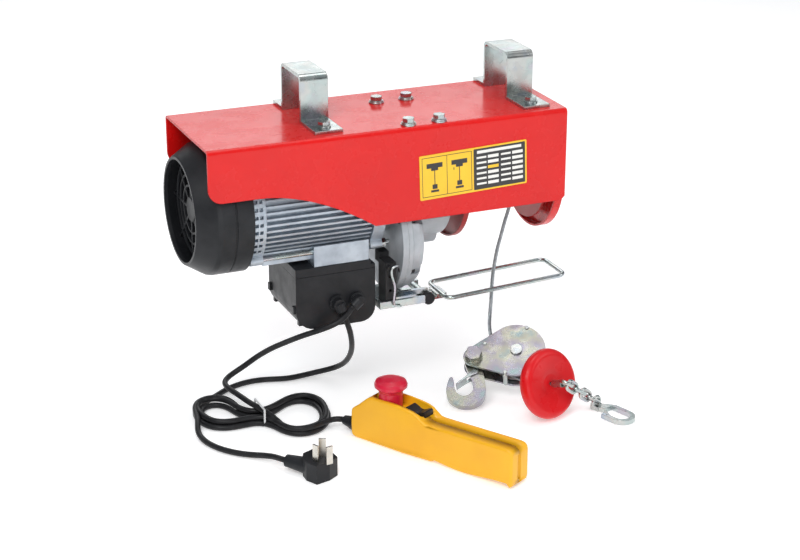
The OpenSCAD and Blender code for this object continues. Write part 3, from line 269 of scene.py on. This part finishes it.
def catmull(pts, step=3.0):
    """evenly stepped smooth line through points, in mm"""
    pts = [Vector(p) for p in pts]
    ext = [pts[0] * 2 - pts[1]] + pts + [pts[-1] * 2 - pts[-2]]
    out = []
    for i in range(1, len(ext) - 2):
        p0, p1, p2, p3 = ext[i - 1:i + 3]
        d01, d12, d23 = (max((b - a).length, 1e-6) ** 0.5 for a, b in ((p0, p1), (p1, p2), (p2, p3)))
        t0, t1, t2, t3 = 0, d01, d01 + d12, d01 + d12 + d23
        n = max(2, int((p2 - p1).length / step))
        for k in range(n):
            t = t1 + (t2 - t1) * k / n
            a1 = p0 * ((t1 - t) / (t1 - t0)) + p1 * ((t - t0) / (t1 - t0))
            a2 = p1 * ((t2 - t) / (t2 - t1)) + p2 * ((t - t1) / (t2 - t1))
            a3 = p2 * ((t3 - t) / (t3 - t2)) + p3 * ((t - t2) / (t3 - t2))
            b1 = a1 * ((t2 - t) / (t2 - t0)) + a2 * ((t - t0) / (t2 - t0))
            b2 = a2 * ((t3 - t) / (t3 - t1)) + a3 * ((t - t1) / (t3 - t1))
            out.append(b1 * ((t2 - t) / (t2 - t1)) + b2 * ((t - t1) / (t2 - t1)))
    out.append(pts[-1])
    return out


def tube_mesh(pts, radius, segs=16, lobes=0, depth=0.0, lay=20.0, taper=None):
    """a closed tube along pts (metres); lobes makes the section a twisted strand of that many wires"""
    bm = bmesh.new()
    rings = []
    t = (pts[1] - pts[0]).normalized()
    u = t.orthogonal().normalized()
    dist = 0.0
    for i, p in enumerate(pts):
        t = (pts[min(i + 1, len(pts) - 1)] - pts[max(i - 1, 0)]).normalized()
        u = (u - t * u.dot(t)).normalized()
        v = t.cross(u)
        if i:
            dist += (pts[i] - pts[i - 1]).length
        ring = []
        r0 = radius if taper is None else taper(i / (len(pts) - 1)) * radius
        for k in range(segs):
            a = 2 * math.pi * k / segs
            r = r0 * (1 - depth * (1 - abs(math.cos(lobes * a / 2 ))) ) if lobes else r0
            b = a + (2 * math.pi * dist / lay if lobes else 0)
            ring.append(bm.verts.new(p + (u * math.cos(b) + v * math.sin(b)) * r))
        rings.append(ring)
    for a, b in zip(rings, rings[1:]):
        for k in range(segs):
            bm.faces.new((a[k], a[(k + 1) % segs], b[(k + 1) % segs], b[k]))
    bm.faces.new(rings[0][::-1])
    bm.faces.new(rings[-1])
    return bm


def cord_curve(name, pts_mm, d, material, body="frame"):
    cu = bpy.data.curves.new(name, "CURVE")
    cu.dimensions = "3D"
    cu.bevel_depth = d / 2000
    cu.bevel_resolution = 5
    cu.use_fill_caps = True
    sp = cu.splines.new("POLY")
    sp.points.add(len(pts_mm) - 1)
    for q, p in zip(sp.points, pts_mm):
        q.co = (*P(*p), 1)
    sp.use_smooth = True
    ob = bpy.data.objects.new(name, cu)
    bpy.context.scene.collection.objects.link(ob)
    cu.materials.append(M[material])
    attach(ob, body)
    return ob


def prism(outline, h0, h1):
    """closed prism of a flat outline (mm) between two heights (mm), in metres"""
    bm = bmesh.new()
    lo = [bm.verts.new((x / 1000, y / 1000, h0 / 1000)) for x, y in outline]
    hi = [bm.verts.new((x / 1000, y / 1000, h1 / 1000)) for x, y in outline]
    n = len(outline)
    bm.faces.new(lo[::-1])
    bm.faces.new(hi)
    for k in range(n):
        bm.faces.new((lo[k], lo[(k + 1) % n], hi[(k + 1) % n], hi[k]))
    return bm


def bevel(ob, w, seg=3, angle=30):
    b = ob.modifiers.new("bevel", "BEVEL")
    b.width = w / 1000
    b.segments = seg
    b.limit_method = "ANGLE"
    b.angle_limit = math.radians(angle)
    b.harden_normals = False
    return ob


# ------------------------------------------------------------------- cords
OUTLINE = [(49, -46), (57, -43), (65.5, -34.5), (77, -27), (89, -23.2), (100.5, -26.4), (108, -37.3), (110.4, -52.8), (107, -72.7),
           (98, -89.7), (86.6, -99.7), (75.1, -103.4), (65.6, -102), (57.6, -94.6), (53, -82.4), (51, -70.5), (47.5, -63.8), (41.4, -63.6),
           (33, -62.6), (20, -63.6), (8.8, -63.6), (-1.8, -58.2), (-8, -46.7), (-9.2, -31.3), (-7, -14.5), (-0.8, -4.6), (10.5, -1), (22, -3.4),
           (30.2, -12), (32.5, -23), (32.3, -34.5), (39, -45)]


def closed_line(pts, n=240):
    k = len(pts)
    ext = [pts[-1]] + list(pts) + [pts[0], pts[1]]
    dense = []
    for i in range(1, k + 1):
        p0, p1, p2, p3 = (Vector((*ext[j], 0)) for j in range(i - 1, i + 3))
        for s in range(12):
            t = s / 12
            dense.append(0.5 * (2 * p1 + (p2 - p0) * t + (2 * p0 - 5 * p1 + 4 * p2 - p3) * t * t + (3 * p1 - p0 - 3 * p2 + p3) * t ** 3))
    dense.append(dense[0].copy())
    cum = [0]
    for a, b in zip(dense, dense[1:]):
        cum.append(cum[-1] + (b - a).length)
    out, j = [], 0
    for i in range(n):
        s = cum[-1] * i / n
        while cum[j + 1] < s:
            j += 1
        f = (s - cum[j]) / (cum[j + 1] - cum[j])
        out.append(dense[j].lerp(dense[j + 1], f))
    return out


RING = closed_line(OUTLINE)          # counter-clockwise or clockwise whichever the outline runs
for _ in range(60):                  # ease the folds, keeping the waist inside its tie
    RING = [p * 0.5 + (RING[i - 1] + RING[(i + 1) % len(RING)]) * 0.25 for i, p in enumerate(RING)]
    for side in (1, -1):
        want = Vector((44.8, -54.8 + 9.1 * side, 0))
        at = min(range(len(RING)), key=lambda i: (RING[i] - want).length)
        dy = want.y - RING[at].y
        n_ = len(RING)
        for k in range(-24, 25):
            q = RING[(at + k) % n_]
            RING[(at + k) % n_] = Vector((q.x, q.y + dy * math.exp(-(k / 12) ** 2), 0))
NR = len(RING)
_area = sum(RING[i].x * RING[(i + 1) % NR].y - RING[(i + 1) % NR].x * RING[i].y for i in range(NR))


def ring_pt(s, inset, z):
    i = int(math.floor(s)) % NR
    f = s - math.floor(s)
    p = RING[i].lerp(RING[(i + 1) % NR], f)
    t = (RING[(i + 3) % NR] - RING[(i - 2) % NR]).normalized()
    n = Vector((-t.y, t.x, 0)) * (1 if _area > 0 else -1)
    q = p + n * inset
    return Vector((q.x, q.y, z))


def nearest(x, y):
    return min(range(NR), key=lambda i: (RING[i] - Vector((x, y, 0))).length)


def turns(x0, y0, x1, y1, n, sign, inset, height, step=5):
    """n whole turns round the hank from beside one point to beside another; inset and height are functions of 0..1"""
    a, b = nearest(x0, y0), nearest(x1, y1)
    d = (b - a) * sign % NR
    total = n * NR + d
    k = int(total / step)
    out = []
    for i in range(k + 1):
        f = i / k
        out.append(ring_pt(a + sign * total * f, inset(f), height(f)))
    return out


def ss(a, b, x):
    t = min(1, max(0, (x - a) / (b - a)))
    return t * t * (3 - 2 * t)


CD = 5.4
g1 = GROUND + 2.75
g2 = g1 + 4.75
WAIST = Vector((44.8, -54.8, 0))
WAY = -1 if _area < 0 else 1          # both leads run anticlockwise seen from above

mains_out = [(127.65, -55.05, -171.25), (128.7, -55.1, -174.2), (131.4, -54.6, -181), (135.4, -53, -190.5), (140, -47, -204),
             (144.6, -36.5, -219), (148.2, -20, -235.5), (148.6, -2, -250.5), (143, 13, -260.5), (131, 21.5, -265.5), (114, 22.5, g1),
             (97, 22, g1), (83, 26.8, g1), (66, 29.2, g1), (50, 26, g1), (38, 20.5, g1), (28, 13.5, g1), (20, 7.2, g1)]
mains_turns = turns(12.5, 2.8, -9.2, -31.3, 1, WAY, lambda f: 0.0, lambda f: g1 + 5.45 * ss(0.78, 0.87, f))
mains_in = [(-12.2, -45.5, g1 + 5.2), (-16.0, -55.5, g1 + 3.6), (-18.4, -66, g1 + 1.2), (-17.0, -80, g1), (-12.4, -94, g1), (-3.4, -108.5, g1),
            (8.4, -120, g1), (19.5, -129.5, -266), (27.2, -140, -263.6), (31.4, -152.6, -261.5), (34.25, -156.2, -261.5)]
control_out = [(139.10, -55.05, -168.95), (136.8, -55.1, -170.88), (133, -59.6, -173.6), (127, -61.4, -177), (119, -61.6, -180.9),
               (106, -55.5, -187.2), (94, -41, -196.5), (84, -21, -209.5), (75, -1, -223), (65, 15, -237), (54, 22, -248), (43, 22.5, -253.6),
               (34.5, 17, -255.2), (31, 8.2, -255.6), (32, -4, -255.7), (36.5, -22, -256), (41, -42, -256.6), (46, -54.6, -256.9),
               (52, -68, -259.3), (56.5, -81, -263.4), (61, -91, -266.2)]


def control_coil():
    a, b = nearest(69, -103), nearest(80, -102.6)
    total = 2 * NR + (b - a) * WAY % NR
    k = int(total / 5)
    out = []
    for i in range(k + 1):
        t = total * i / k
        base = ring_pt(a + WAY * t, 0, 0)
        wst = 1 - ss(9, 30, (base - WAIST).length)
        up = ss(0.90, 1.04, t / NR)
        low = 5.5
        wander = 2.6 + 1.5 * math.sin(t * 0.061 + 0.6) + 0.9 * math.sin(t * 0.143)
        high = wander * (1 - wst) + 2.75 * wst
        out.append(ring_pt(a + WAY * t, low * (1 - up) + high * up, g1 + (g2 - g1) * up))
    return out


control_turns = control_coil()
control_in = [(90.5, -96.3, -262.3), (96.8, -92.9, -262), (102.6, -91.7, -261.8), (107.6, -93.8, -261.4), (110.6, -96.9, -261),
              (112.3, -99.7, -261), (113.0, -101.0, -261)]
mp_ = catmull(mains_out + [tuple(p) for p in mains_turns[2:-1:2]] + mains_in, 2.6)
cp_ = catmull(control_out + [tuple(p) for p in control_turns[2:-1:2]] + control_in, 2.6)


def settle(pts, keep):
    """even out the joints between the stretches without moving the two ends"""
    pts = [p.copy() for p in pts]
    for _ in range(10):
        q = [p.copy() for p in pts]
        for i in range(keep, len(pts) - keep):
            q[i] = pts[i] * 0.5 + (pts[i - 1] + pts[i + 1]) * 0.25
        pts = q
    return pts


mp_ = settle(mp_, 3)
cp_ = settle(cp_, 3)
mains = cord_curve("mains_lead", [tuple(p) for p in mp_], CD, "cord")
control = cord_curve("pendant_lead", [tuple(p) for p in cp_], CD, "cord")
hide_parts("mains_cord", "cord_hank")
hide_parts("control_cord")

# ---------------------------------------------------------------- wire rope
BR = R("Z", -19) @ R("Y", -8) @ R("X", 34.5)
BC = Vector((293.7, -87.3, -231.8))


def bw(x, y, z=0):
    return tuple(BC + (BR @ Vector((x, y, z))))


DN = Vector((0.31, -0.895, 0.317)).normalized()
DC = Vector((297, -147, -237))


def dw(t):
    return tuple(DC + DN * t)


WR = 18.5 + 1.75 + 0.4
rope_pts = [(315.8, -32.2, -73), (312.8, -32.2, -87), (309.3, -31.9, -102), (305.3, -31.5, -116), (301.8, -31.5, -129), (298.4, -31.3, -142),
            (295.8, -31.2, -156), (293.8, -31.6, -169), (292, -33.5, -182), (289.5, -37.5, -195), (285.5, -44, -206.5), bw(-20.4, 34, 2)]
rope_pts += [bw(WR * math.cos(math.radians(a)), WR * math.sin(math.radians(a))) for a in (172, 180, 190, 200, 211, 222)]
rope_pts += [bw(-9.5, -19.8, 0.6), bw(-3.2, -26.6, 2.6), bw(4, -34, 8)]
rope_pts += [dw(t) for t in (-14, -7, 0, 7, 12, 17.5)]
rp = [P(*p) for p in catmull(rope_pts, 0.8)]
rope = add("hoist_rope", tube_mesh(rp, 0.00180, 36, lobes=6, depth=0.42, lay=0.022), "rope")
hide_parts("wire_rope")

# -------------------------------------------------------------- data plate
LBL = T(P(203, -63.12, -71.5)) @ R("Y", -2)


def plate_piece(name, x0, z0, x1, z1, t, material, r=0.0):
    w, h = x1 - x0, z1 - z0
    bm = bmesh.new()
    pts = []
    if r > 0:
        for cx_, cz_, a0 in ((x1 - r, z1 - r, 0), (x0 + r, z1 - r, 90), (x0 + r, z0 + r, 180), (x1 - r, z0 + r, 270)):
            for k in range(7):
                a = math.radians(a0 + 15 * k)
                pts.append((cx_ + r * math.cos(a), cz_ + r * math.sin(a)))
    else:
        pts = [(x1, z1), (x0, z1), (x0, z0), (x1, z0)]
    f = [bm.verts.new((x / 1000, -t / 1000, z / 1000)) for x, z in pts]
    b = [bm.verts.new((x / 1000, 0.0005, z / 1000)) for x, z in pts]
    bm.faces.new(f)
    bm.faces.new(b[::-1])
    n = len(pts)
    for k in range(n):
        bm.faces.new((f[k], b[k], b[(k + 1) % n], f[(k + 1) % n]))
    return add(name, bm, material, matrix=LBL, smooth=False)


lab = plate_piece("label_base", 0, 0, 109, 43, 0.05, "label_y", 1.2)
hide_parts("data_plate")
plate_piece("label_dark", 54.5, 1.6, 107.4, 41.4, 0.10, "label_k", 0.6)
k = 0


def mark(x0, z0, x1, z1, material, t=0.16):
    global k
    k += 1
    plate_piece("label_mark_%02d" % k, x0, z0, x1, z1, t, material)


# thin dark frame and two plain hoist drawings on the yellow half
mark(2.4, 2.4, 52.6, 2.9, "label_k")
mark(2.4, 40.1, 52.6, 40.6, "label_k")
mark(2.4, 2.4, 2.9, 40.6, "label_k")
mark(52.1, 2.4, 52.6, 40.6, "label_k")
mark(27.2, 2.4, 27.7, 40.6, "label_k")
for x in (15, 40):
    mark(x - 8, 30, x + 8, 34.5, "label_k")
    mark(x - 3.5, 27.4, x + 3.5, 30, "label_k")
    mark(x - 0.4, 14, x + 0.4, 27.4, "label_k")
    mark(x - 4, 6.5, x + 4, 8.6, "label_k")
    mark(x - 2.5, 9.6, x + 2.5, 14, "label_k")
mark(34, 25, 34.8, 27.4, "label_k")
# heading bar and rows of plain bars on the dark half
mark(58, 36.6, 103.5, 39.4, "label_w")
for i in range(6):
    z = 31.6 - 5.1 * i
    mark(57.5, z, 67.5, z + 1.9, "label_w")
    mark(69, z - 0.5, 80, z + 2.4, "label_y" if i == 2 else "label_w")
    mark(82.5, z, 92.5, z + 1.9, "label_w")
    mark(94, z - 0.5, 105, z + 2.4, "label_w")

# ----------------------------------------------------------------- pendant
PEN = T(P(111.2, -116.2, GROUND)) @ R("Z", -61)
PW, PL = 28.0, 178.0


def pen_box(name, x0, y0, z0, x1, y1, z1, material, b=0.6, body="frame"):
    bm = prism([(x0, y0), (x1, y0), (x1, y1), (x0, y1)], z0, z1)
    ob = add(name, bm, material, body, PEN)
    return bevel(ob, b)


def pen_half(name, y0, y1, node):
    """one half of the handset's shell, a slab of its side outline with the finger grips below; the caller rounds its
    edges and sinks the panel between the raised cheeks round the controls
    """
    top = [(0.4, 26), (1.4, 28.5), (8, 33.5), (17, 41.5), (20, 43.8), (24, 45.1), (36, 45.3), (50, 45.2), (62, 44.5), (70, 43.4), (75.5, 41.5),
           (79.5, 38.6), (84, 35.6), (88, 35.1), (100, 35.3), (120, 35.9), (140, 36.4), (160, 37.0), (PL - 7, 37.2), (PL - 3, 36.4), (PL - 0.6, 34)]
    bot = [(PL, 31), (PL, 6), (PL - 0.8, 2.5), (PL - 3, 0.9)]
    for i in range(53):
        p = PL - 6 - i * 1.5
        bot.append((p, 2.1 + 1.8 * math.cos(math.radians((PL - 6 - p) * 60 / 3.25 / 5.2))))
    bot += [(90, 0.4), (60, 0.25), (20, 0.25), (5, 0.3), (1.6, 1.4), (0.3, 4), (0, 14)]
    outline = top + bot
    bm = bmesh.new()
    lo = [bm.verts.new((p / 1000, y0 / 1000, h / 1000)) for p, h in outline]
    hi = [bm.verts.new((p / 1000, y1 / 1000, h / 1000)) for p, h in outline]
    n = len(outline)
    bm.faces.new(lo)
    bm.faces.new(hi[::-1])
    for k in range(n):
        bm.faces.new((lo[k], hi[k], hi[(k + 1) % n], lo[(k + 1) % n]))
    ob = add(name, bm, "yellow", "frame", PEN)
    return ob


def cut(ob, cutter):
    md = ob.modifiers.new("cut", "BOOLEAN")
    md.operation = "DIFFERENCE"
    md.solver = "EXACT"
    md.object = cutter
    bpy.context.view_layer.update()
    dg = bpy.context.evaluated_depsgraph_get()
    me = bpy.data.meshes.new_from_object(ob.evaluated_get(dg))
    ob.modifiers.clear()
    old = ob.data
    ob.data = me
    bpy.data.meshes.remove(old)
    bpy.data.objects.remove(cutter)


def raw(name, bm, matrix):
    me = bpy.data.meshes.new(name)
    bmesh.ops.recalc_face_normals(bm, faces=bm.faces)
    bm.to_mesh(me)
    bm.free()
    ob = bpy.data.objects.new(name, me)
    ob.matrix_world = matrix
    bpy.context.scene.collection.objects.link(ob)
    bpy.context.view_layer.update()
    return ob


def rounded(x0, y0, x1, y1, r, n=5):
    out = []
    for cx_, cy_, a0 in ((x1 - r, y1 - r, 0), (x0 + r, y1 - r, 90), (x0 + r, y0 + r, 180), (x1 - r, y0 + r, 270)):
        for k in range(n + 1):
            a = math.radians(a0 + 90 * k / n)
            out.append((cx_ + r * math.cos(a), cy_ + r * math.sin(a)))
    return out


for nm, a, b, node in (("pendant_front_shell", 0.0, PW / 2 - 0.15, "pendant_shell_front"), ("pendant_back_shell", PW / 2 + 0.15, PW, "pendant_shell_back")):
    ob = pen_half(nm, a, b, node)
    # waisted grip: the front of the handle is slimmer than the head
    for v in ob.data.vertices:
        if a == 0 and v.co.y * 1000 < 1:
            v.co.y += 2.2 * ss(76, 92, v.co.x * 1000) / 1000
    bv = ob.modifiers.new("bevel", "BEVEL")
    bv.width = 0.0042
    bv.segments = 5
    bv.limit_method = "WEIGHT"
    att = ob.data.attributes.new("bevel_weight_edge", "FLOAT", "EDGE")
    for e in ob.data.edges:
        v0, v1 = (ob.data.vertices[i].co for i in e.vertices)
        side = all((c.y * 1000 < 3.5) if a == 0 else (c.y * 1000 > PW - 3.5) for c in (v0, v1))
        att.data[e.index].value = 1.0 if side and abs(v0.y - v1.y) < 0.0035 else 0.0
    dg = bpy.context.evaluated_depsgraph_get()
    me = bpy.data.meshes.new_from_object(ob.evaluated_get(dg))
    ob.modifiers.clear()
    ob.data = me
    # the sunken panel between the raised cheeks, and the tail slot
    cut(ob, raw("c1", prism(rounded(20.5, 4.2, 78, PW - 4.2, 3.0), 37.2, 60), PEN))
    cut(ob, raw("c2", prism(rounded(57, 7.4, 80, PW - 7.4, 1.0), 30, 50), PEN))
    cut(ob, raw("c3", prism([(36 + 11.2 * math.cos(math.radians(t)), 14 + 11.2 * math.sin(math.radians(t))) for t in range(0, 360, 10)], 28.4, 50), PEN))
    cut(ob, raw("c4", prism(rounded(PL - 1.6, 11.6, PL + 4, 16.4, 0.9), 7, 31), PEN))
    for p in ob.data.polygons:
        p.use_smooth = True
    md = ob.modifiers.new("wn", "WEIGHTED_NORMAL")
    md.keep_sharp = True
    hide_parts(node)

# -------------------------------------------------------------------- room
bpy.ops.mesh.primitive_plane_add(size=14, location=(0, 0, (GROUND - SZ) / 1000 - 0.0004))
floor = bpy.context.object
floor.name = "floor"
fm = bpy.data.materials.new("floor_paper")
fm.use_nodes = True
fm.node_tree.nodes["Principled BSDF"].inputs["Base Color"].default_value = (0.93, 0.93, 0.93, 1)
fm.node_tree.nodes["Principled BSDF"].inputs["Roughness"].default_value = 0.9
fm.node_tree.nodes["Principled BSDF"].inputs["Emission Color"].default_value = (1, 1, 1, 1)
fm.node_tree.nodes["Principled BSDF"].inputs["Emission Strength"].default_value = 0.34
floor.data.materials.append(fm)


def area(name, loc, target, size, power, colour=(1, 1, 1)):
    d = bpy.data.lights.new(name, "AREA")
    d.shape = "RECTANGLE"
    d.size, d.size_y = size
    d.energy = power
    d.color = colour
    o = bpy.data.objects.new(name, d)
    o.location = loc
    o.rotation_mode = "QUATERNION"
    o.rotation_quaternion = (Vector(target) - Vector(loc)).to_track_quat("-Z", "Y")
    bpy.context.scene.collection.objects.link(o)
    return o


area("key", (-1.1, -1.3, 1.5), (0, 0, -0.1), (1.1, 1.1), 27)
area("fill", (1.5, -1.1, 0.7), (0, 0, -0.1), (1.1, 0.9), 8)
area("front", (-0.3, -2.2, 0.1), (0, 0, -0.15), (1.4, 0.6), 7)
area("top", (0.1, 0.2, 1.6), (0, 0, 0), (1.2, 0.9), 9)
area("back", (0.3, 1.6, 0.7), (0, 0, -0.1), (1.6, 0.6), 6)
w = bpy.data.worlds.new("studio")
bpy.context.scene.world = w
w.use_nodes = True
wt = w.node_tree
geo = wt.nodes.new("ShaderNodeTexCoord")
sep = wt.nodes.new("ShaderNodeSeparateXYZ")
ramp = wt.nodes.new("ShaderNodeValToRGB")
wt.links.new(geo.outputs["Generated"], sep.inputs[0])
wt.links.new(sep.outputs["Z"], ramp.inputs["Fac"])
ramp.color_ramp.elements[0].position = 0.0
ramp.color_ramp.elements[0].color = (0.10, 0.105, 0.115, 1)
ramp.color_ramp.elements[1].position = 0.75
ramp.color_ramp.elements[1].color = (0.95, 0.97, 1.0, 1)
e = ramp.color_ramp.elements.new(0.22)
e.color = (0.22, 0.23, 0.25, 1)
e = ramp.color_ramp.elements.new(0.42)
e.color = (0.70, 0.73, 0.78, 1)
wt.links.new(ramp.outputs["Color"], wt.nodes["Background"].inputs["Color"])
wt.nodes["Background"].inputs["Strength"].default_value = 0.42
bpy.context.scene.view_settings.view_transform = "Standard"
